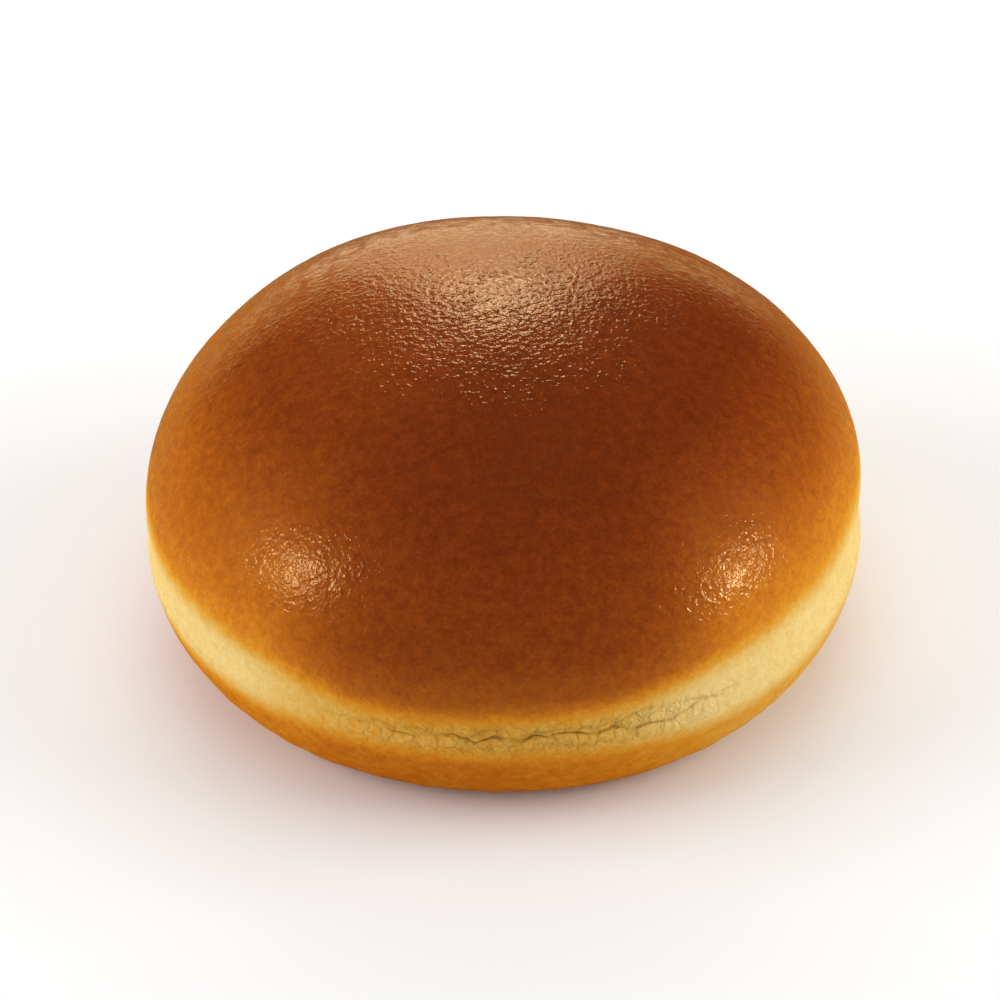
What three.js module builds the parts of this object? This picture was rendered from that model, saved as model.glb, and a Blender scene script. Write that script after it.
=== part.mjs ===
// A soft round bread roll, uncut and without seeds. A dark, domed crown overhangs a pale waist.
// The waist is creased at the front, and less so at the back, where the crown has risen away
// from the base. Below it a golden rim tapers under to a flat foot. Millimetres, +Z up. The
// origin is on the table under the middle of the roll, and -Y is its front.
import * as THREE from 'three';

// Crown: the upper crust, from its top down to the shoulder, its widest ring
const CROWN_RADIUS = 51;
const CROWN_RISE = 31.4;
const CROWN_ROUNDNESS = 2.08;
const CROWN_FULLNESS = 1.8;
const SHOULDER_HEIGHT = 22.8;

// Rim: the widest ring of the base, and the taper from there down to the edge of the foot
const RIM_RADIUS = 51.1;
const RIM_HEIGHT = 15.5;
const RIM_ROUNDNESS = 1.57;
const FOOT_RADIUS = 40.5;

// Share of the radius by which an outline swells, as [cosine, sine] pairs for one to four
// waves in a turn: no roll is quite round
const CROWN_WAVES = [[-0.0032, 0.0004], [0.0012, -0.0038], [0.0032, 0.0044], [-0.0048, 0.0074]];
const RIM_WAVES = [[0.001, 0.0004], [0.0004, -0.0039], [-0.0047, -0.0002], [-0.0041, 0.0003]];

// Crease: the line where crown and base meet, drawn in a little all round the waist
const CREASE_HEIGHT = 17.4;
const CREASE_DEPTH = 0.45;
const CREASE_SAG = 0.5;
const CREASE_SCALLOPS = 31;

// Splits: where the crease has pulled open, as the angle of the middle, the half angle over
// which it closes again, and its strength
const SPLITS = [
  { angle: -Math.PI / 2 + 0.05, reach: 0.66, strength: 1 },
  { angle: Math.PI / 2 + 0.35, reach: 0.52, strength: 0.6 },
];
const SPLIT_DEPTH = 0.85;
const GROOVE_DEPTH = 0.6;
const GROOVE_HALF_WIDTH = 0.7;

// Broad unevenness of the crown
const SWELL_DEPTH = 0.16;
const SWELL_TURNS = 5;
const SWELL_RINGS = 2.5;

// Rows of facets on each stretch of the surface, and facets in a turn
const CROWN_ROWS = 16;
const OVERHANG_ROWS = 8;
const LIP_ROWS = 5;
const RIM_ROWS = 8;
const FOOT_ROWS = 2;
const FACETS = 132;

// How much closer together the rows lie towards the crease
const CREASE_CROWDING = 1.5;

const CRUST = new THREE.MeshStandardMaterial({ color: 0x9a4a18, roughness: 0.42, metalness: 0 });

const mix = (from, to, share) => from + (to - from) * share;

const smooth = (share) => share * share * (3 - 2 * share);

// Radius of an outline at an angle, as a share of its mean radius
function outlineShare(waves, angle) {
  return waves.reduce(
    (sum, [cosine, sine], index) =>
      sum + cosine * Math.cos((index + 1) * angle) + sine * Math.sin((index + 1) * angle),
    1,
  );
}

// 1 in the middle of a split, 0 where the crease is closed
function splitStrength(angle) {
  return SPLITS.reduce((strongest, split) => {
    const turn = angle - split.angle;
    const away = Math.abs(Math.atan2(Math.sin(turn), Math.cos(turn)));
    return Math.max(strongest, split.strength * smooth(Math.max(0, 1 - away / split.reach)));
  }, 0);
}

// Height of the crease: a row of shallow scallops of uneven length, flatter where it is closed
function creaseHeight(angle) {
  const scallop = Math.abs(Math.sin((CREASE_SCALLOPS * angle) / 2 + 0.9 * Math.sin(3 * angle)));
  return CREASE_HEIGHT + CREASE_SAG * mix(0.2, 1, splitStrength(angle)) * (0.5 - scallop);
}

// A point of the waist at an angle and a height. Nearness is 0 at the shoulder or the rim and
// 1 in the crease, where two bulging faces meet in a groove.
function waistPoint(angle, height, nearness) {
  const strength = splitStrength(angle);
  const shoulder = CROWN_RADIUS * outlineShare(CROWN_WAVES, angle);
  const rim = RIM_RADIUS * outlineShare(RIM_WAVES, angle);
  const across = (height - creaseHeight(angle)) / GROOVE_HALF_WIDTH;
  const drawnIn = (CREASE_DEPTH + SPLIT_DEPTH * strength) * nearness ** 2;
  const groove = GROOVE_DEPTH * strength * Math.exp(-across * across);
  const share = smooth((SHOULDER_HEIGHT - height) / (SHOULDER_HEIGHT - RIM_HEIGHT));
  return { radius: mix(shoulder, rim, share) - drawnIn - groove, height };
}

// The crown, share running from 0 at the top to 1 at the shoulder
function crownPoint(angle, share) {
  const tilt = (1 - share) * (Math.PI / 2);
  const radius = CROWN_RADIUS * Math.cos(tilt) ** (2 / CROWN_ROUNDNESS);
  const rise = CROWN_RISE * Math.sin(tilt) ** (2 / CROWN_FULLNESS);
  const ripple = Math.sin(SWELL_TURNS * angle + 1) * Math.sin(Math.PI * SWELL_RINGS * share);
  const swell = SWELL_DEPTH * ripple * Math.sin(Math.PI * share);
  return { radius: radius * outlineShare(CROWN_WAVES, angle) + swell, height: SHOULDER_HEIGHT + rise };
}

// The underside of the overhang, share running from 0 at the shoulder to 1 in the crease
function overhangPoint(angle, share) {
  const nearness = 1 - (1 - share) ** CREASE_CROWDING;
  return waistPoint(angle, mix(SHOULDER_HEIGHT, creaseHeight(angle), nearness), nearness);
}

// The lip of the base, share running from 0 in the crease to 1 at the rim
function lipPoint(angle, share) {
  const nearness = 1 - share ** CREASE_CROWDING;
  return waistPoint(angle, mix(RIM_HEIGHT, creaseHeight(angle), nearness), nearness);
}

// The rim, share running from 0 at its widest to 1 at the edge of the foot
function rimPoint(angle, share) {
  const tilt = share * (Math.PI / 2);
  const radius = mix(FOOT_RADIUS, RIM_RADIUS, Math.cos(tilt) ** (2 / RIM_ROUNDNESS));
  const height = RIM_HEIGHT * (1 - Math.sin(tilt) ** (2 / RIM_ROUNDNESS));
  return { radius: radius * outlineShare(RIM_WAVES, angle), height };
}

// The flat foot, share running from 0 at its edge to 1 in the middle
function footPoint(angle, share) {
  return { radius: FOOT_RADIUS * outlineShare(RIM_WAVES, angle) * (1 - share), height: 0 };
}

// Every row of points between the top of the crown and the middle of the foot, from the top down
function surfaceRows() {
  const stretch = (point, rows) =>
    Array.from({ length: rows }, (_, index) => ({ point, share: index / rows }));
  return [
    ...stretch(crownPoint, CROWN_ROWS).slice(1),
    ...stretch(overhangPoint, OVERHANG_ROWS),
    ...stretch(lipPoint, LIP_ROWS),
    ...stretch(rimPoint, RIM_ROWS),
    ...stretch(footPoint, FOOT_ROWS),
  ];
}

// One closed surface: a top point, the rows and a bottom point, its box centred on the origin
function rollGeometry() {
  const rows = surfaceRows();
  const points = [new THREE.Vector3(0, 0, SHOULDER_HEIGHT + CROWN_RISE)];
  for (const { point, share } of rows) {
    for (let facet = 0; facet < FACETS; facet += 1) {
      const angle = (facet / FACETS) * 2 * Math.PI;
      const { radius, height } = point(angle, share);
      points.push(new THREE.Vector3(radius * Math.cos(angle), radius * Math.sin(angle), height));
    }
  }
  points.push(new THREE.Vector3(0, 0, 0));

  const indices = [];
  const corner = (row, facet) => 1 + row * FACETS + (facet % FACETS);
  const last = rows.length - 1;
  for (let facet = 0; facet < FACETS; facet += 1) {
    indices.push(0, corner(0, facet), corner(0, facet + 1));
    for (let row = 0; row < last; row += 1) {
      indices.push(corner(row, facet), corner(row + 1, facet), corner(row + 1, facet + 1));
      indices.push(corner(row, facet), corner(row + 1, facet + 1), corner(row, facet + 1));
    }
    indices.push(corner(last, facet), points.length - 1, corner(last, facet + 1));
  }

  const geometry = new THREE.BufferGeometry().setFromPoints(points);
  geometry.setIndex(indices);
  geometry.computeBoundingBox();
  const middle = geometry.boundingBox.getCenter(new THREE.Vector3());
  geometry.translate(-middle.x, -middle.y, 0);
  geometry.computeVertexNormals();
  return geometry;
}

const roll = new THREE.Mesh(rollGeometry(), CRUST);
roll.name = 'bread_roll';

const object = new THREE.Group();
object.add(roll);

export default object;
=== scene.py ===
"""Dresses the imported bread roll: one fine mesh of the whole roll, with its baked crown, pale creased
waist, golden rim and flat foot, on a pale floor under soft studio light.

Sizes are in millimetres until a mesh, a lamp or the camera is made, which takes metres.
"""

import logging
import math
from dataclasses import dataclass, field
from enum import Enum
from typing import Any, Sequence

import bpy
import numpy as np
from mathutils import Matrix, Vector

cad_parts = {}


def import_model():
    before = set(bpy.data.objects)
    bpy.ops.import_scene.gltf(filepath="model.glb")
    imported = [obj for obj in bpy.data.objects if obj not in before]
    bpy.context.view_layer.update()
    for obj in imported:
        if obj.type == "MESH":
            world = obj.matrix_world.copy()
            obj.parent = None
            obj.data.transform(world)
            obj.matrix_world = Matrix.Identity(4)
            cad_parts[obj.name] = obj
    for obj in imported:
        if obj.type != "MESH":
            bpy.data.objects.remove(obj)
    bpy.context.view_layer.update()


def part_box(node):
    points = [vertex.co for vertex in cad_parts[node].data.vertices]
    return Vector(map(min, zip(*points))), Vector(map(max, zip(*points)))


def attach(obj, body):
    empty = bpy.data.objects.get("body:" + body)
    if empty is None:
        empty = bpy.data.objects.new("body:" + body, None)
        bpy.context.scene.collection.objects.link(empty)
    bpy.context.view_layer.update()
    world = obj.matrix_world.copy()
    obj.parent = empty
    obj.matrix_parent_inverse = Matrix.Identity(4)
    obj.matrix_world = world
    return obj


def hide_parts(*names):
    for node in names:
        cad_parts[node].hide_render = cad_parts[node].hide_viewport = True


LOG = logging.getLogger("bread_roll")
MM = 0.001
NODE = "bread_roll"
BODY = "root"
FRONT = -math.pi / 2
BACK = math.pi / 2

# Name of the mask that marks the crease's tear and the cracks, where painted shade darkens the colour.
FISSURE = "fissure"
OPEN_CRUMB = "open_crumb"

NOTCH_SHARPNESS = 1.5

Range = tuple[float, float]
Waves = Sequence[tuple[float, float]]
Path = Sequence[tuple[float, float]]
Socket = bpy.types.NodeSocket
Colour = tuple[float, float, float]
WHITE: Colour = (1.0, 1.0, 1.0)
AMBER_WHITE: Colour = (1.0, 0.77, 0.44)
AMBER: Colour = (1.0, 0.64, 0.24)


def smooth(share: np.ndarray) -> np.ndarray:
    """Ease a share from 0 to 1 with level ends.

    Args:
        share: Values, of which those outside 0 to 1 are held at the ends.

    Returns:
        The eased values.
    """
    held = np.clip(share, 0.0, 1.0)
    return held * held * (3.0 - 2.0 * held)


def turn_between(angle: np.ndarray, middle: float) -> np.ndarray:
    """Measure how far each angle lies from a middle one.

    Args:
        angle: Angles in radians.
        middle: The angle to measure from.

    Returns:
        The signed turns, from minus a half turn to a half turn.
    """
    return np.arctan2(np.sin(angle - middle), np.cos(angle - middle))


def outline_share(waves: Waves, angle: np.ndarray) -> np.ndarray:
    """Work out the radius of an uneven outline as a share of its mean radius.

    Args:
        waves: Cosine and sine share for one wave in a turn, then two, and so on.
        angle: Angles in radians.

    Returns:
        The share at each angle.
    """
    share = np.ones_like(angle)
    for count, (cosine, sine) in enumerate(waves, start=1):
        share += cosine * np.cos(count * angle) + sine * np.sin(count * angle)
    return share


def notch(away: np.ndarray) -> np.ndarray:
    """Return the share of a groove's depth across it, from distances in half widths off its middle."""
    return np.exp(-(np.abs(away) ** NOTCH_SHARPNESS))


def placed(name: str, data: bpy.types.ID) -> bpy.types.Object:
    """Return a new object with its name and data, linked to the scene."""
    made = bpy.data.objects.new(name, data)
    bpy.context.scene.collection.objects.link(made)
    return made


class Stretch(Enum):
    """The stretches of the roll's profile, from the top down."""

    CROWN = "crown"
    OVERHANG = "overhang"
    LIP = "lip"
    RIM = "rim"
    FOOT = "foot"


@dataclass(frozen=True)
class Lattice:
    """Smooth seeded unevenness in space, from random values on a cubic lattice."""

    cell: float
    seed: int
    size: int = 32

    def at(self, points: np.ndarray) -> np.ndarray:
        """Read the unevenness at points.

        Args:
            points: Places in millimetres, one in each row.

        Returns:
            Values between about -1 and 1.
        """
        values = np.random.default_rng(self.seed).uniform(-1.0, 1.0, (self.size,) * 3)
        place = points / self.cell + self.size * 4
        low = np.floor(place).astype(int)
        part = smooth(place - low)
        total = np.zeros(len(points))
        for corner in np.ndindex(2, 2, 2):
            weight = np.prod(np.where(np.array(corner) == 1, part, 1.0 - part), axis=1)
            index = (low + corner) % self.size
            total += weight * values[index[:, 0], index[:, 1], index[:, 2]]
        return total


@dataclass(frozen=True)
class Split:
    """A stretch of the crease that has pulled open."""

    angle: float
    reach: float
    strength: float

    def strength_at(self, angle: np.ndarray) -> np.ndarray:
        """Return how open the crease is at each angle, from 0 up to the split's strength."""
        away = np.abs(turn_between(angle, self.angle))
        return self.strength * smooth(1.0 - away / self.reach)


@dataclass(frozen=True)
class RollForm:
    """The plain form of the roll in millimetres: the solid's, with a shallower split at the front."""

    crown_radius: float = 51.0
    crown_rise: float = 31.4
    crown_roundness: float = 2.08
    crown_fullness: float = 1.8
    shoulder_height: float = 22.8
    rim_radius: float = 51.1
    rim_height: float = 15.5
    rim_roundness: float = 1.57
    foot_radius: float = 40.5
    crown_waves: Waves = ((-0.0032, 0.0004), (0.0012, -0.0038), (0.0032, 0.0044), (-0.0048, 0.0074))
    rim_waves: Waves = ((0.001, 0.0004), (0.0004, -0.0039), (-0.0047, -0.0002), (-0.0041, 0.0003))
    crease_height: float = 17.4
    crease_depth: float = 0.45
    crease_front_share: float = 0.35
    crease_side_steepness: float = 2.2
    crease_sharpness: float = 1.5
    crease_sag: float = 0.5
    crease_scallops: int = 31
    scallop_sway: float = 0.9
    closed_share: float = 0.2
    splits: Sequence[Split] = (Split(FRONT + 0.05, 0.66, 1.0), Split(BACK + 0.35, 0.52, 0.6))
    tear_turns: Sequence[float] = (-114.0, -105.0, -95.9, -88.8, -77.5, -72.0, -65.7, -60.0)
    tear_heights: Sequence[float] = (17.3, 16.1, 16.0, 15.8, 16.2, 15.9, 15.8, 16.4)
    tear_rises: Sequence[float] = (0.2, 1.15, 0.9, 1.1, 0.8, 0.4, 0.2)
    tear_roundness: float = 0.7
    tear_end_degrees: float = 4.0
    tear_fray: float = 0.3
    fray: Sequence[Lattice] = (Lattice(0.9, 21), Lattice(2.3, 22))
    tear_pieces: Lattice = Lattice(2.6, 23)
    tear_middle: float = 0.62
    tear_contrast: float = 1.1
    tear_least: float = 0.4
    split_depth: float = 0.1
    groove_depth: float = 0.32
    groove_half_width: float = 0.17
    swell_depth: float = 0.16
    swell_turns: int = 5
    swell_rings: float = 2.5
    swell_start: float = 1.0

    def split_strength(self, angle: np.ndarray) -> np.ndarray:
        """Return 1 in the middle of the widest split, 0 where the crease is closed."""
        return np.max([split.strength_at(angle) for split in self.splits], axis=0)

    def around(self, angle: np.ndarray) -> np.ndarray:
        """Return places round the rim, at which a lattice gives unevenness along the crease."""
        return np.column_stack([np.cos(angle), np.sin(angle), 0.0 * angle]) * self.rim_radius

    def crease_line(self, angle: np.ndarray) -> np.ndarray:
        """Work out where the crease runs: torn arcs between cusps at the front, scallops elsewhere.

        Args:
            angle: Angles in radians.

        Returns:
            The height of the crease at each angle.
        """
        scallop = np.abs(np.sin(self.crease_scallops * angle / 2 + self.scallop_sway * np.sin(3 * angle)))
        openness = self.closed_share + (1.0 - self.closed_share) * self.split_strength(angle)
        plain = self.crease_height + self.crease_sag * openness * (0.5 - scallop)
        degrees = np.degrees(angle)
        turns, heights = np.array(self.tear_turns), np.array(self.tear_heights)
        arc = np.clip(np.searchsorted(turns, degrees) - 1, 0, len(turns) - 2)
        along = np.clip((degrees - turns[arc]) / (turns[arc + 1] - turns[arc]), 0.0, 1.0)
        rise = np.array(self.tear_rises)[arc] * np.sin(math.pi * along) ** self.tear_roundness
        started = smooth((degrees - turns[0]) / self.tear_end_degrees)
        inside = started * smooth((turns[-1] - degrees) / self.tear_end_degrees)
        places = self.around(angle)
        frayed = self.tear_fray * sum(lattice.at(places) for lattice in self.fray) * openness
        return plain + (np.interp(degrees, turns, heights) + rise - plain) * inside + frayed

    def tear_share(self, angle: np.ndarray) -> np.ndarray:
        """Return how plainly the crease has torn at each angle, in uneven pieces, from 0 to 1."""
        pieces = smooth(self.tear_middle + self.tear_contrast * self.tear_pieces.at(self.around(angle)))
        return self.split_strength(angle) ** 0.5 * (self.tear_least + (1.0 - self.tear_least) * pieces)

    def waist(self, angle: np.ndarray, height: np.ndarray, nearness: float) -> np.ndarray:
        """Work out the radius of the waist.

        Args:
            angle: Angles in radians.
            height: Heights between the rim and the shoulder.
            nearness: 0 at the shoulder or the rim, 1 in the crease.

        Returns:
            The radius at each angle.
        """
        strength = self.split_strength(angle)
        shoulder = self.crown_radius * outline_share(self.crown_waves, angle)
        rim = self.rim_radius * outline_share(self.rim_waves, angle)
        across = (height - self.crease_line(angle)) / self.groove_half_width
        sides = smooth(1.0 - self.crease_side_steepness * (1.0 - np.abs(np.cos(angle))))
        share = self.crease_front_share + (1.0 - self.crease_front_share) * sides
        drawn_in = self.crease_depth * share * float(smooth(np.array(nearness)))
        drawn_in = drawn_in + self.split_depth * strength * nearness**2
        groove = self.groove_depth * self.tear_share(angle) * notch(across)
        lowered = smooth((self.shoulder_height - height) / (self.shoulder_height - self.rim_height))
        return shoulder + (rim - shoulder) * lowered - drawn_in - groove

    def ring(self, stretch: Stretch, share: float, angle: np.ndarray) -> tuple[np.ndarray, np.ndarray]:
        """Work out one ring of the surface.

        Args:
            stretch: The stretch of the profile that the ring lies on.
            share: How far down that stretch it lies, from 0 to 1.
            angle: Angles in radians.

        Returns:
            The radius and the height at each angle.
        """
        level = np.ones_like(angle)
        if stretch is Stretch.CROWN:
            tilt = (1.0 - share) * math.pi / 2
            radius = self.crown_radius * math.cos(tilt) ** (2.0 / self.crown_roundness)
            rise = self.crown_rise * math.sin(tilt) ** (2.0 / self.crown_fullness)
            ripple = np.sin(self.swell_turns * angle + self.swell_start)
            ripple = ripple * math.sin(math.pi * self.swell_rings * share)
            swell = self.swell_depth * ripple * math.sin(math.pi * share)
            radius = radius * outline_share(self.crown_waves, angle) + swell
            return radius, (self.shoulder_height + rise) * level
        if stretch is Stretch.RIM:
            tilt = share * math.pi / 2
            inwards = math.cos(tilt) ** (2.0 / self.rim_roundness)
            radius = self.foot_radius + (self.rim_radius - self.foot_radius) * inwards
            height = self.rim_height * (1.0 - math.sin(tilt) ** (2.0 / self.rim_roundness))
            return radius * outline_share(self.rim_waves, angle), height * level
        if stretch is Stretch.FOOT:
            return self.foot_radius * outline_share(self.rim_waves, angle) * (1.0 - share), 0.0 * level
        crease = self.crease_line(angle)
        if stretch is Stretch.OVERHANG:
            nearness = 1.0 - (1.0 - share) ** self.crease_sharpness
            height = self.shoulder_height + (crease - self.shoulder_height) * nearness
        else:
            nearness = 1.0 - share**self.crease_sharpness
            height = self.rim_height + (crease - self.rim_height) * nearness
        return self.waist(angle, height, nearness), height


@dataclass(frozen=True)
class Crack:
    """A short crack beside the crease, along a path of angles in degrees and heights."""

    path: Path
    depth: float
    half_width: float = 0.3
    end_share: float = 0.08

    def share_at(self, form: RollForm, angle: np.ndarray, height: np.ndarray) -> np.ndarray:
        """Work out how far each point lies inside the crack.

        Args:
            form: The roll that it lies on.
            angle: Angles in radians.
            height: Heights in millimetres.

        Returns:
            1 on the crack's line, fading to 0 beside it and at its ends.
        """
        share = np.zeros_like(angle)
        around = math.radians(1.0) * form.rim_radius
        spans = len(self.path) - 1
        for span in range(spans):
            (turn, level), (next_turn, next_level) = self.path[span], self.path[span + 1]
            run, rise = (next_turn - turn) * around, next_level - level
            across = turn_between(angle, math.radians(turn)) * form.rim_radius
            up = height - level
            along = np.clip((across * run + up * rise) / (run * run + rise * rise), 0.0, 1.0)
            away = np.hypot(across - along * run, up - along * rise) / self.half_width
            from_end = self.end_share + (1.0 - 2.0 * self.end_share) * (span + along) / spans
            share = np.maximum(share, np.sin(math.pi * from_end) ** 0.5 * notch(away))
        return share


@dataclass(frozen=True)
class Blister:
    """A small raised bubble under the crust."""

    angle: float
    radius: float
    height: float
    width: float
    rise: float


@dataclass(frozen=True)
class Layer:
    """One layer of unevenness: its depth in millimetres and the lattice that it follows."""

    depth: float
    lattice: Lattice

    def at(self, points: np.ndarray) -> np.ndarray:
        """Return how far the layer moves each point, in millimetres."""
        return self.depth * self.lattice.at(points)


@dataclass(frozen=True)
class Rise:
    """A mask that rises from 0 to 1 with the height, from a start and over a span in millimetres."""

    start: float
    span: float

    def at(self, height: np.ndarray) -> np.ndarray:
        """Return the mask at each height."""
        return smooth((height - self.start) / self.span)


@dataclass(frozen=True)
class Relief:
    """The fine unevenness of the baked surface, in millimetres."""

    cracks: Sequence[Crack] = (
        Crack(((-112.0, 17.9), (-109.5, 17.6), (-107.6, 16.9)), 0.22),
        Crack(((-107.2, 17.5), (-105.7, 17.8), (-104.0, 17.6), (-102.8, 17.0)), 0.25),
        Crack(((-96.6, 16.9), (-95.4, 17.6), (-93.9, 18.0), (-92.2, 18.2)), 0.32),
        Crack(((-88.4, 16.4), (-87.3, 17.3), (-85.6, 17.7), (-84.4, 17.6)), 0.3),
        Crack(((-75.2, 16.8), (-73.6, 17.8), (-71.4, 18.5), (-68.4, 19.0)), 0.3),
        Crack(((-65.2, 18.4), (-62.0, 18.0), (-59.0, 17.2), (-56.4, 16.8)), 0.2),
        Crack(((-98.7, 16.9), (-97.4, 16.5), (-96.6, 15.6)), 0.25),
        Crack(((103.0, 17.9), (106.0, 18.6), (109.5, 18.3), (112.0, 17.5)), 0.3),
        Crack(((118.0, 17.0), (121.0, 17.9), (124.5, 17.7)), 0.3),
    )
    blisters: Sequence[Blister] = (
        Blister(-103.3, 49.2, 29.1, 1.3, 0.16),
        Blister(-57.8, 43.0, 39.0, 1.2, 0.14),
        Blister(20.5, 17.5, 52.3, 1.8, 0.14),
        Blister(-0.7, 14.4, 52.9, 1.1, 0.14),
        Blister(-6.3, 8.9, 53.7, 1.0, 0.12),
    )
    crust_swells: Layer = Layer(0.08, Lattice(9.0, 3))
    crust_puckers: Layer = Layer(0.022, Lattice(1.7, 4))
    crumb_lumps: Layer = Layer(0.18, Lattice(2.4, 5))
    crumb_grain: Layer = Layer(0.06, Lattice(0.9, 10))
    side_lumps: Layer = Layer(0.06, Lattice(2.6, 7))
    rim_lumps: Layer = Layer(0.1, Lattice(1.3, 9))
    foot_dimples: Layer = Layer(0.15, Lattice(3.1, 8))
    lump_flatness: float = 1.3
    crown_fade: float = 3.0
    crumb_start: Rise = Rise(13.2, 1.6)
    crumb_end: Rise = Rise(17.6, 2.8)
    fissure_start: Rise = Rise(13.0, 2.0)
    rim_lumps_end: Rise = Rise(5.0, 6.0)
    foot_end: Rise = Rise(0.0, 0.6)
    fissure_width: float = 1.3
    crack_painted_shade: float = 2.4

    def at(self, form: RollForm, points: np.ndarray) -> tuple[np.ndarray, dict[str, np.ndarray]]:
        """Work out how far each point moves out along its normal.

        Args:
            form: The roll that the relief lies on.
            points: Places in millimetres, one in each row.

        Returns:
            The move of each point in millimetres, and masks that say how far it lies inside a fissure,
            where painted shade darkens the colour, and on bare crumb, from 0 to 1.
        """
        angle = np.arctan2(points[:, 1], points[:, 0])
        height = points[:, 2]
        strength = form.split_strength(angle)
        crease = form.crease_line(angle)
        crown = Rise(form.shoulder_height, self.crown_fade).at(height)
        open_crumb = strength**0.5 * self.crumb_start.at(height) * (1.0 - self.crumb_end.at(height))
        foot = 1.0 - self.foot_end.at(height)
        move = self.crust_swells.at(points) * crown
        move += self.crust_puckers.at(points) * crown
        move += self.crumb_lumps.at(points * (1.0, 1.0, self.lump_flatness)) * open_crumb
        move += self.crumb_grain.at(points) * open_crumb
        move += self.side_lumps.at(points) * (1.0 - crown) * (1.0 - foot)
        move += self.rim_lumps.at(points) * (1.0 - self.rim_lumps_end.at(height)) * (1.0 - foot)
        # Painted shade: the fissure mask darkens the crease's tear and the cracks, the deeper cracks more.
        along = (height - crease) / (self.fissure_width * form.groove_half_width)
        fissure = form.tear_share(angle) * notch(along) * self.fissure_start.at(height)
        for crack in self.cracks:
            share = crack.share_at(form, angle, height) * (height > self.fissure_start.start)
            move -= crack.depth * share
            fissure = np.maximum(fissure, share * crack.depth * self.crack_painted_shade)
        for blister in self.blisters:
            turn = math.radians(blister.angle)
            middle = (blister.radius * math.cos(turn), blister.radius * math.sin(turn), blister.height)
            distance = np.linalg.norm(points - middle, axis=1)
            move += blister.rise * np.exp(-((distance / (0.5 * blister.width)) ** 2)) * crown
        move -= np.abs(self.foot_dimples.at(points)) * foot
        return move, {FISSURE: np.clip(fissure, 0.0, 1.0), OPEN_CRUMB: open_crumb}


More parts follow.
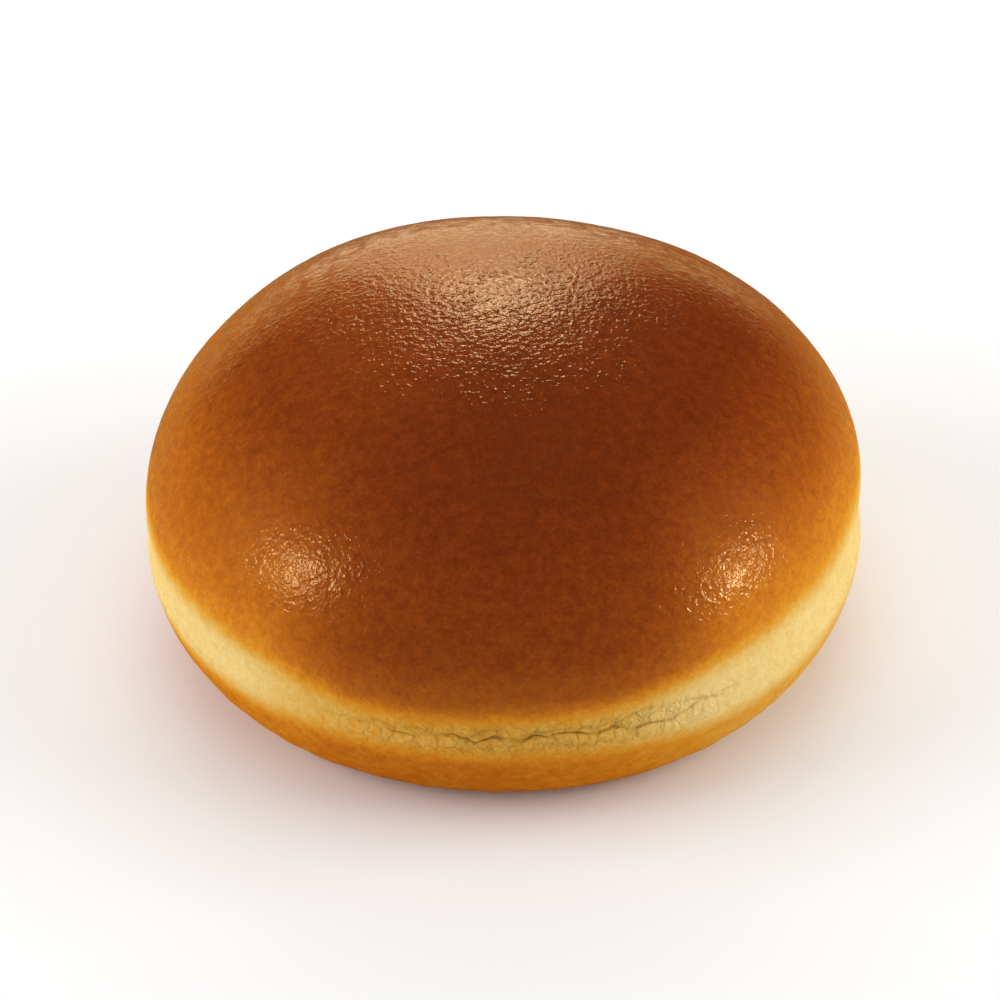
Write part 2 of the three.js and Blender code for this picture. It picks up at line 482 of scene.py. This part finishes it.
@dataclass
class RollMesh:
    """The fine mesh of the roll: rings of facets, fewer of them near the two poles."""

    form: RollForm = field(default_factory=RollForm)
    relief: Relief = field(default_factory=Relief)
    facets: int = 632
    front_crowding: float = 1.1
    back_crowding: float = 0.5
    crowding_reach: float = 0.75
    angle_samples: int = 7201
    rows: dict[Stretch, int] = field(
        default_factory=lambda: {
            Stretch.CROWN: 96,
            Stretch.OVERHANG: 22,
            Stretch.LIP: 11,
            Stretch.RIM: 34,
            Stretch.FOOT: 20,
        }
    )
    half_below: float = 26.0
    quarter_below: float = 12.0

    def angles(self) -> np.ndarray:
        """Return the angles of a full ring, closer together at the front and the back."""
        even = np.linspace(-math.pi, math.pi, self.angle_samples)
        crowding = np.ones_like(even)
        for middle, more in ((FRONT, self.front_crowding), (BACK, self.back_crowding)):
            crowding += more * np.exp(-((turn_between(even, middle) / self.crowding_reach) ** 4))
        run = np.concatenate([[0.0], np.cumsum((crowding[1:] + crowding[:-1]) / 2)])
        return np.interp(np.arange(self.facets) / self.facets * run[-1], run, even)

    def steps(self) -> list[tuple[Stretch, float, int]]:
        """List every ring as its stretch, its share of that stretch and the facets that it skips."""
        listed = []
        for stretch, count in self.rows.items():
            for index in range(count):
                share = index / count
                if stretch is Stretch.CROWN and index == 0:
                    continue
                radius = float(self.form.ring(stretch, share, np.zeros(1))[0][0])
                skip = 4 if radius < self.quarter_below else 2 if radius < self.half_below else 1
                listed.append((stretch, share, skip))
        return listed

    def build(self, low: Vector, high: Vector) -> bpy.types.Object:
        """Make the roll as a Blender object.

        Args:
            low: Lowest corner of the solid's box, in metres.
            high: Highest corner of that box.

        Returns:
            The object, its mesh placed where the solid is.
        """
        angles = self.angles()
        rings = self.steps()
        points = [np.array([[0.0, 0.0, self.form.shoulder_height + self.form.crown_rise]])]
        starts = []
        count = 1
        for stretch, share, skip in rings:
            turn = angles[::skip]
            radius, height = self.form.ring(stretch, share, turn)
            starts.append(count)
            points.append(np.column_stack([radius * np.cos(turn), radius * np.sin(turn), height]))
            count += len(turn)
        points.append(np.zeros((1, 3)))
        places = np.concatenate(points)
        faces = self.faces(starts, [skip for _, _, skip in rings], count)
        middle = (places[:, :2].min(0) + places[:, :2].max(0)) / 2
        normals = self.normals(places, faces)
        move, masks = self.relief.at(self.form, places)
        places += normals * move[:, None]
        places[:, 2] = np.maximum(places[:, 2], 0.0)
        box_middle = np.array([(low.x + high.x) / 2, (low.y + high.y) / 2])
        places[:, :2] += box_middle / MM - middle
        mesh = bpy.data.meshes.new("roll")
        mesh.from_pydata((places * MM).tolist(), [], faces)
        for name, mask in masks.items():
            mesh.attributes.new(name, "FLOAT", "POINT").data.foreach_set("value", mask.astype(np.float32))
        mesh.shade_smooth()
        mesh.update()
        return placed("roll", mesh)

    def faces(self, starts: Sequence[int], skips: Sequence[int], last: int) -> list[tuple[int, ...]]:
        """Join the rings with faces.

        Args:
            starts: Index of each ring's first point.
            skips: Facets that each ring skips.
            last: Index of the bottom point.

        Returns:
            The corners of every face, facing out.
        """
        made = []
        top_ring = self.facets // skips[0]
        for facet in range(top_ring):
            made.append((0, starts[0] + facet, starts[0] + (facet + 1) % top_ring))
        for row in range(len(starts) - 1):
            upper, lower = starts[row], starts[row + 1]
            upper_ring, lower_ring = self.facets // skips[row], self.facets // skips[row + 1]
            for facet in range(min(upper_ring, lower_ring)):
                after = facet + 1
                if upper_ring == lower_ring:
                    near, far = upper + facet, upper + after % upper_ring
                    made.append((near, lower + facet, lower + after % lower_ring, far))
                elif upper_ring < lower_ring:
                    near, far = upper + facet, upper + after % upper_ring
                    left, mid, right = (lower + (2 * facet + more) % lower_ring for more in range(3))
                    made += [(near, left, mid), (near, mid, far), (far, mid, right)]
                else:
                    near, far = lower + facet, lower + after % lower_ring
                    left, mid, right = (upper + (2 * facet + more) % upper_ring for more in range(3))
                    made += [(near, mid, left), (near, far, mid), (far, right, mid)]
        bottom_ring = self.facets // skips[-1]
        for facet in range(bottom_ring):
            made.append((starts[-1] + facet, last, starts[-1] + (facet + 1) % bottom_ring))
        return made

    def normals(self, places: np.ndarray, faces: list[tuple[int, ...]]) -> np.ndarray:
        """Work out the outward normal at each point.

        Args:
            places: The points.
            faces: The corners of every face.

        Returns:
            One unit vector for each point.
        """
        total = np.zeros_like(places)
        for size in (3, 4):
            corners = np.array([face for face in faces if len(face) == size])
            if size == 4:
                across = places[corners[:, 2]] - places[corners[:, 0]]
                along = places[corners[:, 3]] - places[corners[:, 1]]
                facing = np.cross(across, along)
            else:
                first = places[corners[:, 0]]
                facing = np.cross(places[corners[:, 1]] - first, places[corners[:, 2]] - first)
            for column in range(size):
                np.add.at(total, corners[:, column], facing)
        return total / np.linalg.norm(total, axis=1, keepdims=True)


class Signal:
    """A number that changes over a surface: the output of a node, for use in sums."""

    def __init__(self, net: "NodeNet", socket: Socket) -> None:
        """Keep the socket and the net that it belongs to."""
        self.net = net
        self.socket = socket

    def __add__(self, other: "Signal | float") -> "Signal":
        """Return the sum."""
        return self.net.maths("ADD", self, other)

    def __sub__(self, other: "Signal | float") -> "Signal":
        """Return the difference."""
        return self.net.maths("SUBTRACT", self, other)

    def __rsub__(self, other: "Signal | float") -> "Signal":
        """Return the other value less this one."""
        return self.net.maths("SUBTRACT", other, self)

    def __mul__(self, other: "Signal | float") -> "Signal":
        """Return the product."""
        return self.net.maths("MULTIPLY", self, other)

    def __truediv__(self, other: "Signal | float") -> "Signal":
        """Return the quotient."""
        return self.net.maths("DIVIDE", self, other)

    def root(self) -> "Signal":
        """Return the square root."""
        return self.net.maths("SQRT", self)

    def at_least(self, other: "Signal | float") -> "Signal":
        """Return the larger value."""
        return self.net.maths("MAXIMUM", self, other)

    def eased(self, start: "Signal | float", end: "Signal | float") -> "Signal":
        """Return 0 before start and 1 after end, eased between them."""
        settings = {"interpolation_type": "SMOOTHSTEP"}
        values = {"Value": self, "From Min": start, "From Max": end}
        return self.net.signal("ShaderNodeMapRange", settings, values, "Result")

    __radd__ = __add__
    __rmul__ = __mul__


class NodeNet:
    """The node tree of a material or a world, written as expressions."""

    def __init__(self, tree: bpy.types.NodeTree) -> None:
        """Take over a node tree and empty it."""
        self.tree = tree
        self.tree.nodes.clear()

    def node(self, kind: str, settings: dict[str, Any], values: dict[Any, Any]) -> bpy.types.Node:
        """Add a node.

        Args:
            kind: The node's type.
            settings: Its properties, or the stops of a ramp as places and colours.
            values: What its input sockets hold or are linked to, by name or number.

        Returns:
            The node.
        """
        made = self.tree.nodes.new(kind)
        for name, setting in settings.items():
            if name == "stops":
                self.set_stops(made.color_ramp, setting)
            else:
                setattr(made, name, setting)
        for name, value in values.items():
            socket = made.inputs[name]
            if isinstance(value, Signal):
                self.tree.links.new(value.socket, socket)
            elif isinstance(value, Socket):
                self.tree.links.new(value, socket)
            else:
                socket.default_value = value
        return made

    def set_stops(self, ramp: bpy.types.ColorRamp, stops: Sequence[tuple[float, Colour]]) -> None:
        """Give a ramp its stops.

        Args:
            ramp: The ramp.
            stops: Place and linear colour of each stop, in order.
        """
        while len(ramp.elements) < len(stops):
            ramp.elements.new(0.5)
        for element, (place, colour) in zip(ramp.elements, stops):
            element.position = place
            element.color = (*colour, 1.0)

    def signal(self, kind: str, settings: dict[str, Any], values: dict[Any, Any], output: str) -> Signal:
        """Add a node and return one of its outputs as a number to sum with."""
        return Signal(self, self.node(kind, settings, values).outputs[output])

    def maths(self, operation: str, first: Signal | float, second: Signal | float = 0.0) -> Signal:
        """Return the result of a Math node on two values."""
        return self.signal("ShaderNodeMath", {"operation": operation}, {0: first, 1: second}, "Value")

    def scaled(self, vector: Socket, scale: Sequence[float]) -> Socket:
        """Return a vector multiplied by a fixed one, part by part."""
        values = {0: vector, 1: tuple(scale)}
        return self.node("ShaderNodeVectorMath", {"operation": "MULTIPLY"}, values).outputs["Vector"]

    def noise(
        self, place: Socket, size: float, detail: float = 2.0, rough: float = 0.5
    ) -> Signal:
        """Add soft noise.

        Args:
            place: Where it is read, in millimetres.
            size: Size of its patches in millimetres.
            detail: How many finer layers it has.
            rough: How strong those are.

        Returns:
            Values around 0.5.
        """
        values = {"Vector": place, "Scale": 1.0 / size, "Detail": detail, "Roughness": rough}
        return self.signal("ShaderNodeTexNoise", {}, values, "Fac")

    def mixed(self, mask: Signal | float, first: Any, second: Any) -> Socket:
        """Return first where the mask is 0 and second where it is 1, both colours."""
        values = {"Factor": mask, 6: first, 7: second}
        return self.node("ShaderNodeMix", {"data_type": "RGBA"}, values).outputs[2]


@dataclass(frozen=True)
class Spot:
    """Where a place lies on the roll, as signals: the way that it faces, its height and its noise."""

    cosine: Signal
    sine: Signal
    height: Signal
    broad: Signal
    ragged: Signal

    def left(self) -> Signal:
        """Return how far the place faces left, from 0 to 1."""
        return (0.0 - self.cosine).at_least(0.0)

    def right(self) -> Signal:
        """Return how far the place faces right, from 0 to 1."""
        return self.cosine.at_least(0.0)

    def back(self) -> Signal:
        """Return how far the place faces back, from 0 to 1."""
        return self.sine.at_least(0.0)


@dataclass(frozen=True)
class Facing:
    """A side of the roll, as a mask that is 1 in its middle and eases to 0 away from it."""

    degrees: float
    full: float
    none: float

    def over(self, spot: Spot) -> Signal:
        """Return the mask at each place."""
        turn = math.radians(self.degrees)
        towards = spot.cosine * math.cos(turn) + spot.sine * math.sin(turn)
        return towards.eased(math.cos(math.radians(self.none)), math.cos(math.radians(self.full)))


@dataclass(frozen=True)
class Browning:
    """How brown each place on the roll is baked: 0 for pale crumb, 1 for the darkest crust.

    A pale or a brown says how much paler or browner a place is; the right edge's extra pale is a painted
    sheen. The rest is in millimetres.
    """

    front: Facing = Facing(-92.0, 12.0, 42.0)
    back: Facing = Facing(107.0, 8.0, 36.0)
    back_share: float = 0.6
    split_front: Facing = Facing(-98.0, 8.0, 40.0)
    high_edge: Facing = Facing(-69.0, 10.0, 38.0)
    right_edge: Facing = Facing(-5.0, 12.0, 48.0)
    poles_radius: float = 16.0
    broad_size: float = 13.0
    ragged_size: float = 3.0
    crust_edge: float = 22.3
    crust_edge_rise: float = 2.2
    high_edge_rise: float = 1.0
    crust_right_drop: float = 0.6
    crust_front_drop: float = 0.35
    crust_fade: float = 3.0
    rim_edge: float = 13.1
    rim_left_rise: float = 1.0
    rim_right_rise: float = 2.3
    rim_fade: float = 2.7
    broad_wander: float = 1.6
    ragged_wander: float = 1.0
    rim_wander_share: float = 0.7
    crown_top_pale: float = 0.04
    crown_side_pale: float = 0.48
    crown_side_height: float = 28.0
    crown_paling: float = 0.0235
    crown_broad: float = 0.08
    front_brown: float = 0.62
    upper_heights: Range = (28.0, 38.0)
    upper_left_pale: float = 0.1
    upper_back_pale: float = 0.15
    # Painted sheen low on the crown's right edge.
    right_sheen_heights: Range = (28.0, 39.0)
    right_edge_painted_sheen: float = 0.05
    front_edge_heights: Range = (22.0, 29.0)
    front_edge_pale: float = 0.08
    waist_pale: float = 0.97
    waist_split_brown: float = 0.24
    waist_ragged_brown: float = 0.15
    rim_pale: float = 0.57
    rim_cosine_pale: float = 0.06
    rim_right_pale: float = 0.13
    rim_ragged: float = 0.12
    rim_front_brown: float = 0.1

    def spot(self, net: NodeNet, place: Socket) -> Spot:
        """Work out where each place lies on the roll.

        Args:
            net: The node tree.
            place: Places in millimetres.

        Returns:
            The place's bearing, height and noise.
        """
        parts = net.node("ShaderNodeSeparateXYZ", {}, {"Vector": place})
        across, along, height = (Signal(net, parts.outputs[axis]) for axis in "XYZ")
        radius = (across * across + along * along).root().at_least(self.poles_radius)
        broad = net.noise(place, self.broad_size) - 0.5
        ragged = net.noise(place, self.ragged_size) - 0.5
        return Spot(across / radius, along / radius, height, broad, ragged)

    def crown(self, spot: Spot) -> Signal:
        """Return how pale the crown is at each place, with a painted sheen low on its right edge."""
        height, front = spot.height, self.front.over(spot)
        brown = (front + self.back.over(spot) * self.back_share) * self.front_brown
        pale = self.crown_side_pale - (height - self.crown_side_height) * self.crown_paling
        pale = (pale + spot.broad * self.crown_broad).at_least(self.crown_top_pale) * (1.0 - brown)
        upper = spot.left() * self.upper_left_pale + spot.back() * self.upper_back_pale
        # Painted sheen: the crust is paled low on its right edge.
        right = (1.0 - height.eased(*self.right_sheen_heights)) * self.right_edge_painted_sheen
        low_front = (1.0 - height.eased(*self.front_edge_heights)) * self.front_edge_pale
        pale = pale + height.eased(*self.upper_heights) * upper
        return pale + self.right_edge.over(spot) * right + front * low_front

    def waist(self, spot: Spot) -> Signal:
        """Return how pale the waist is at each place."""
        pale = self.waist_pale - self.split_front.over(spot) * self.waist_split_brown
        return pale - spot.ragged.at_least(0.0) * self.waist_ragged_brown

    def rim(self, spot: Spot) -> Signal:
        """Return how pale the rim and the foot are at each place."""
        pale = self.rim_pale + spot.cosine * self.rim_cosine_pale + spot.right() * self.rim_right_pale
        return pale + spot.ragged * self.rim_ragged - self.front.over(spot) * self.rim_front_brown

    def crusted(self, spot: Spot, wander: Signal) -> Signal:
        """Return a mask that is 1 on the upper crust, with an edge that wanders."""
        raised = (spot.cosine * spot.cosine * 2.0 - 1.0) * self.crust_edge_rise
        raised = raised + self.high_edge.over(spot) * self.high_edge_rise
        lowered = spot.right() * self.crust_right_drop + self.front.over(spot) * self.crust_front_drop
        edge = self.crust_edge + raised + wander - lowered
        return (spot.height - edge).eased(-self.crust_fade, self.crust_fade)

    def rimmed(self, spot: Spot, wander: Signal) -> Signal:
        """Return a mask that is 1 on the rim and the foot, with an edge that wanders."""
        edge = self.rim_edge - spot.cosine * self.rim_left_rise + wander * self.rim_wander_share
        edge = edge + self.right_edge.over(spot) * self.rim_right_rise
        return (edge - spot.height).eased(-self.rim_fade, self.rim_fade)

    def over(self, spot: Spot) -> tuple[Signal, Signal]:
        """Work out how brown each place is.

        Args:
            spot: Where the place lies.

        Returns:
            The browning, from 0 to 1, and a mask that is 1 on the upper crust.
        """
        wander = spot.broad * self.broad_wander + spot.ragged * self.ragged_wander
        crusted = self.crusted(spot, wander)
        waist = self.waist(spot)
        pale = waist + (self.crown(spot) - waist) * crusted
        return 1.0 - (pale + (self.rim(spot) - pale) * self.rimmed(spot, wander)), crusted


@dataclass(frozen=True)
class CrustSkin:
    """The finest relief: a wrinkled, pimpled skin on the crust, an open crumb on the waist and its painted
    shade.
    """

    wrinkle_size: float = 0.85
    wrinkle_depth: float = 0.14
    patch_size: float = 7.0
    patch_range: Range = (0.36, 0.62)
    top_patch_least: float = 0.7
    pimple_size: float = 0.8
    pimple_range: Range = (0.44, 0.88)
    pimple_rise: float = 0.05
    top_pimple_rise: float = 0.075
    crumb_size: float = 0.4
    crumb_depth: float = 0.1
    lump_size: float = 2.3
    lump_rise: float = 0.3
    lump_slope: float = 0.22
    lump_bend: float = 1.6
    bend_scale: float = 0.9
    pit_width: float = 0.055
    pit_size: float = 3.1
    pit_range: Range = (0.42, 0.58)
    pit_painted_shade: float = 0.5
    furrow_size: float = 0.8
    furrow_stretch: float = 2.5
    furrow_range: Range = (0.3, 0.55)
    furrow_depth: float = 0.1
    furrow_painted_shade: float = 0.35

    def over(
        self, net: NodeNet, place: Socket, crusted: Signal, open_crumb: Signal, top: Signal
    ) -> tuple[Signal, Signal]:
        """Work out the relief's height and the painted shade in the crumb's hollows and furrows.

        Args:
            net: The node tree.
            place: Places in millimetres.
            crusted: A mask that is 1 on the upper crust.
            open_crumb: A mask that is 1 on the crumb bared by the widest split.
            top: A mask that is 1 on the roll's top.

        Returns:
            The height in millimetres, and the painted shade in the crumb's hollows and furrows, from 0 to 1.
        """
        wrinkle = net.noise(place, self.wrinkle_size) * self.wrinkle_depth
        patch = net.noise(place, self.patch_size, 0.0).eased(*self.patch_range)
        patch = patch.at_least(top * self.top_patch_least)
        pimple = net.noise(place, self.pimple_size, 1.0).eased(*self.pimple_range) * patch
        skin = wrinkle + pimple * (self.pimple_rise + top * self.top_pimple_rise)
        bend = net.node("ShaderNodeTexNoise", {}, {"Vector": place, "Scale": self.bend_scale, "Detail": 1.0})
        moved = {0: place, 1: net.scaled(bend.outputs["Color"], (self.lump_bend,) * 3)}
        bent = net.node("ShaderNodeVectorMath", {"operation": "ADD"}, moved).outputs["Vector"]
        cells = {"Vector": bent, "Scale": 1.0 / self.lump_size}
        gap = net.signal("ShaderNodeTexVoronoi", {"feature": "DISTANCE_TO_EDGE"}, cells, "Distance")
        upright = net.scaled(place, (1.0, 1.0, 1.0 / self.furrow_stretch))
        furrow = net.noise(upright, self.furrow_size, 1.0).eased(*self.furrow_range)
        # Painted shade along the crumb's cell edges and in its furrows, only where the crumb is bared.
        pit_shade = net.noise(place, self.pit_size, 0.0).eased(*self.pit_range) * self.pit_painted_shade
        pit_shade = pit_shade * (1.0 - gap.eased(0.0, self.pit_width))
        pit_shade = pit_shade.at_least((1.0 - furrow) * self.furrow_painted_shade) * open_crumb
        lump = gap.eased(0.0, self.lump_slope) * self.lump_rise
        crumb = net.noise(place, self.crumb_size, 3.0, 0.6) * self.crumb_depth
        crumb = crumb + (lump + furrow * self.furrow_depth) * open_crumb
        return crumb + (skin - crumb) * crusted, pit_shade


@dataclass(frozen=True)
class BakedFinish:
    """The baked surface: how dark it is browned, from pale crumb to chestnut, and how glossy."""

    stops: Sequence[tuple[float, Colour]] = (
        (0.00, (0.80, 0.590, 0.225)),
        (0.12, (0.735, 0.480, 0.145)),
        (0.24, (0.69, 0.375, 0.068)),
        (0.36, (0.665, 0.283, 0.023)),
        (0.46, (0.60, 0.203, 0.0125)),
        (0.56, (0.49, 0.137, 0.0085)),
        (0.68, (0.37, 0.087, 0.006)),
        (0.80, (0.27, 0.052, 0.0052)),
        (0.90, (0.20, 0.033, 0.0042)),
        (1.00, (0.14, 0.022, 0.0032)),
    )
    browning: Browning = Browning()
    skin: CrustSkin = CrustSkin()
    # A deep brown crumb tint, painted as the shade inside the crease, the cracks and the crumb's hollows and
    # furrows.
    fissure_shade_colour: Colour = (0.35, 0.2, 0.022)
    crevice_shade_cover: float = 0.8
    fleck_size: float = 0.45
    fleck_rough: float = 0.6
    blotch_size: float = 1.4
    mottle: float = 0.2
    glaze_range: Range = (0.3, 0.6)
    glaze_roughness: float = 0.165
    glaze_grain: float = 1.1
    glaze_wear: float = 0.55
    wear_size: float = 2.2
    wear_range: Range = (0.36, 0.62)
    top_heights: Range = (48.6, 52.0)
    matte_roughness: float = 0.85
    gloss_tint: Colour = (1.0, 0.78, 0.5)
    gloss_level: float = 0.5

    def material(self) -> bpy.types.Material:
        """Make the material.

        Returns:
            A material that reads places on the roll in its own coordinates.
        """
        made = bpy.data.materials.new("baked_crust")
        made.use_nodes = True
        net = NodeNet(made.node_tree)
        place = net.scaled(net.node("ShaderNodeTexCoord", {}, {}).outputs["Object"], (1.0 / MM,) * 3)
        spot = self.browning.spot(net, place)
        browned, crusted = self.browning.over(spot)
        fleck = net.noise(place, self.fleck_size, 2.0, self.fleck_rough)
        fleck = fleck + net.noise(place, self.blotch_size) - 1.0
        tone = browned + fleck * self.mottle
        baked = net.node("ShaderNodeValToRGB", {"stops": self.stops}, {"Fac": tone}).outputs["Color"]
        torn = net.signal("ShaderNodeAttribute", {"attribute_name": FISSURE}, {}, "Fac")
        open_crumb = net.signal("ShaderNodeAttribute", {"attribute_name": OPEN_CRUMB}, {}, "Fac")
        top = spot.height.eased(*self.top_heights)
        relief, pit_shade = self.skin.over(net, place, crusted, open_crumb, top)
        # Painted shade: the fissure and hollow masks pull the colour towards that crumb tint.
        crevice_shade = torn.at_least(pit_shade) * self.crevice_shade_cover
        colour = net.mixed(crevice_shade, baked, (*self.fissure_shade_colour, 1.0))
        bump = net.node("ShaderNodeBump", {}, {"Strength": 1.0, "Distance": MM, "Height": relief})
        shared = {"Base Color": colour, "Normal": bump.outputs["Normal"]}
        matte = {"Roughness": self.matte_roughness, "Specular IOR Level": 0.0}
        glazed = {
            "Roughness": self.glaze_roughness,
            "Specular IOR Level": self.gloss_level,
            "Specular Tint": (*self.gloss_tint, 1.0),
        }
        crumb, crust = (
            net.node("ShaderNodeBsdfPrincipled", {}, {**shared, **look}).outputs["BSDF"]
            for look in (matte, glazed)
        )
        worn = 1.0 - net.noise(place, self.wear_size, 1.0).eased(*self.wear_range)
        worn = worn * (1.0 - top) * self.glaze_wear
        glaze = crusted * browned.eased(*self.glaze_range) * (1.0 + fleck * self.glaze_grain - worn)
        shader = net.node("ShaderNodeMixShader", {}, {0: glaze, 1: crumb, 2: crust})
        net.node("ShaderNodeOutputMaterial", {}, {"Surface": shader.outputs["Shader"]})
        return made


@dataclass
class BreadRoll:
    """The roll: its mesh, its finish and its place in the frame."""

    mesh: RollMesh = field(default_factory=RollMesh)
    finish: BakedFinish = field(default_factory=BakedFinish)

    def build(self) -> bpy.types.Object:
        """Make the roll in place of its plain solid.

        Returns:
            The finished piece.
        """
        low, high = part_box(NODE)
        roll = self.mesh.build(low, high)
        roll.data.materials.append(self.finish.material())
        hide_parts(NODE)
        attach(roll, BODY)
        LOG.info("%s: %d faces", roll.name, len(roll.data.polygons))
        return roll


class LampUse(Enum):
    """What a lamp is for: the crust's highlights, or light on its colour and the floor."""

    GLOSS = "gloss"
    COLOUR = "colour"


@dataclass(frozen=True)
class Softbox:
    """A soft lamp with straight sides, which faces the place that it is aimed at."""

    name: str
    use: LampUse
    azimuth: float
    elevation: float
    radiance: float
    width: float
    height: float
    distance: float = 900.0
    colour: Colour = WHITE
    aim: tuple[float, float, float] = (0.0, 0.0, 30.0)

    @classmethod
    def sheen_board(
        cls, name: str, across: float, width: float, radiance: float, colour: Colour
    ) -> "Softbox":
        """Describe a board that leans close behind the roll and is mirrored in the far part of its top.

        Args:
            name: The lamp's name.
            across: Its place to the right of the roll's middle, in millimetres.
            width: Its width in millimetres.
            radiance: How bright it is.
            colour: Its colour.

        Returns:
            The lamp's description.
        """
        aim = (across, 181.0, 166.0)
        return cls(name, LampUse.GLOSS, 90.0, -65.5, radiance, width, 236.0, 100.0, colour, aim)

    def build(self) -> bpy.types.Object:
        """Make the lamp.

        Returns:
            The lamp.
        """
        turn, lift = math.radians(self.azimuth), math.radians(self.elevation)
        away = Vector((math.cos(turn) * math.cos(lift), math.sin(turn) * math.cos(lift), math.sin(lift)))
        light = bpy.data.lights.new(self.name, "AREA")
        light.shape = "RECTANGLE"
        light.size, light.size_y = self.width * MM, self.height * MM
        light.energy = self.radiance * math.pi * light.size * light.size_y
        light.color = self.colour
        lamp = placed(self.name, light)
        lamp.location = (Vector(self.aim) + away * self.distance) * MM
        lamp.rotation_euler = away.to_track_quat("Z", "Y").to_euler()
        lamp.visible_camera = False
        lamp.visible_glossy = self.use is LampUse.GLOSS
        lamp.visible_diffuse = self.use is LampUse.COLOUR
        return lamp


@dataclass
class Studio:
    """The pale floor, the soft lamps and the dim room round them."""

    floor_half_width: float = 4000.0
    floor_colour: Colour = (0.9, 0.9, 0.9)
    room_level: float = 0.5
    lamps: Sequence[Softbox] = (
        Softbox("back_softbox", LampUse.GLOSS, 90.0, 36.5, 12.0, 230.0, 170.0, colour=(1.0, 0.78, 0.47)),
        Softbox("back_glow", LampUse.GLOSS, 90.0, 22.5, 2.9, 400.0, 240.0, colour=(1.0, 0.76, 0.43)),
        Softbox("left_softbox", LampUse.GLOSS, -160.0, 24.6, 18.5, 170.0, 170.0, colour=(1.0, 0.87, 0.57)),
        Softbox("right_softbox", LampUse.GLOSS, -14.5, 10.5, 26.0, 160.0, 160.0, colour=(1.0, 0.9, 0.6)),
        Softbox.sheen_board("sheen_middle", -12.0, 96.0, 1.55, AMBER_WHITE),
        Softbox.sheen_board("sheen_left", -91.0, 60.0, 1.1, AMBER),
        Softbox.sheen_board("sheen_right", 67.0, 60.0, 1.0, AMBER),
        Softbox("table_glow", LampUse.GLOSS, 90.0, -90.0, 0.3, 800.0, 800.0, 50.0, AMBER, (0.0, 200.0, 51.0)),
        Softbox("left_fill", LampUse.COLOUR, -176.0, 22.0, 3.9, 900.0, 900.0, 1300.0),
        Softbox("right_fill", LampUse.COLOUR, -4.0, 22.0, 4.0, 900.0, 900.0, 1300.0),
        Softbox("back_fill", LampUse.COLOUR, 90.0, 32.0, 1.6, 900.0, 900.0, 1300.0),
        Softbox("top_fill", LampUse.COLOUR, 90.0, 89.0, 0.8, 1200.0, 1200.0, 1500.0),
    )

    def build(self) -> None:
        """Make the floor, the lamps and the room."""
        self.make_floor()
        for lamp in self.lamps:
            lamp.build()
            LOG.info("%s: %.0f mm wide", lamp.name, lamp.width)
        self.make_room()

    def make_floor(self) -> None:
        """Make the floor, which the crust doesn't mirror."""
        half = self.floor_half_width * MM
        corners = [(-half, -half, 0.0), (half, -half, 0.0), (half, half, 0.0), (-half, half, 0.0)]
        mesh = bpy.data.meshes.new("floor")
        mesh.from_pydata(corners, [], [(0, 1, 2, 3)])
        floor = placed("floor", mesh)
        material = bpy.data.materials.new("floor_paint")
        material.use_nodes = True
        net = NodeNet(material.node_tree)
        values = {"Base Color": (*self.floor_colour, 1.0), "Roughness": 0.9, "Specular IOR Level": 0.0}
        shader = net.node("ShaderNodeBsdfPrincipled", {}, values)
        net.node("ShaderNodeOutputMaterial", {}, {"Surface": shader.outputs["BSDF"]})
        mesh.materials.append(material)
        floor.visible_glossy = False

    def make_room(self) -> None:
        """Make the even light of the room, which the crust doesn't mirror."""
        world = bpy.data.worlds.new("room")
        world.use_nodes = True
        bpy.context.scene.world = world
        net = NodeNet(world.node_tree)
        values = {"Color": (1.0, 1.0, 1.0, 1.0), "Strength": self.room_level}
        shader = net.node("ShaderNodeBackground", {}, values)
        net.node("ShaderNodeOutputWorld", {}, {"Surface": shader.outputs["Background"]})
        world.cycles_visibility.glossy = False


@dataclass(frozen=True)
class Viewpoint:
    """The camera, at the photograph's angle."""

    elevation: float = 36.3
    roll: float = 2.23
    distance: float = 612.0
    target: tuple[float, float, float] = (-0.454, 0.0, 19.21)
    pixels_per_radian: float = 4288.0
    picture_width: float = 1000.0
    sensor_width: float = 36.0

    def build(self) -> bpy.types.Object:
        """Make the camera and make it the scene's own.

        Returns:
            The camera.
        """
        lift, lean = math.radians(self.elevation), math.radians(self.roll)
        forward = Vector((0.0, math.cos(lift), -math.sin(lift)))
        level_up = Vector((0.0, math.sin(lift), math.cos(lift)))
        level_right = Vector((1.0, 0.0, 0.0))
        up = math.cos(lean) * level_up + math.sin(lean) * level_right
        right = math.cos(lean) * level_right - math.sin(lean) * level_up
        data = bpy.data.cameras.new("camera")
        data.sensor_width = self.sensor_width
        data.lens = self.pixels_per_radian / self.picture_width * self.sensor_width
        camera = placed("camera", data)
        place = (Vector(self.target) - forward * self.distance) * MM
        turn = Matrix((right, up, -forward)).transposed().to_4x4()
        camera.matrix_world = Matrix.Translation(place) @ turn
        bpy.context.scene.camera = camera
        return camera


def main() -> None:
    """Build the roll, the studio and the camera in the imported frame."""
    logging.basicConfig(level=logging.INFO, format="%(name)s %(message)s")
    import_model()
    bpy.context.scene.view_settings.view_transform = "Standard"
    Viewpoint().build()
    Studio().build()
    BreadRoll().build()


if __name__ == "__main__":
    main()
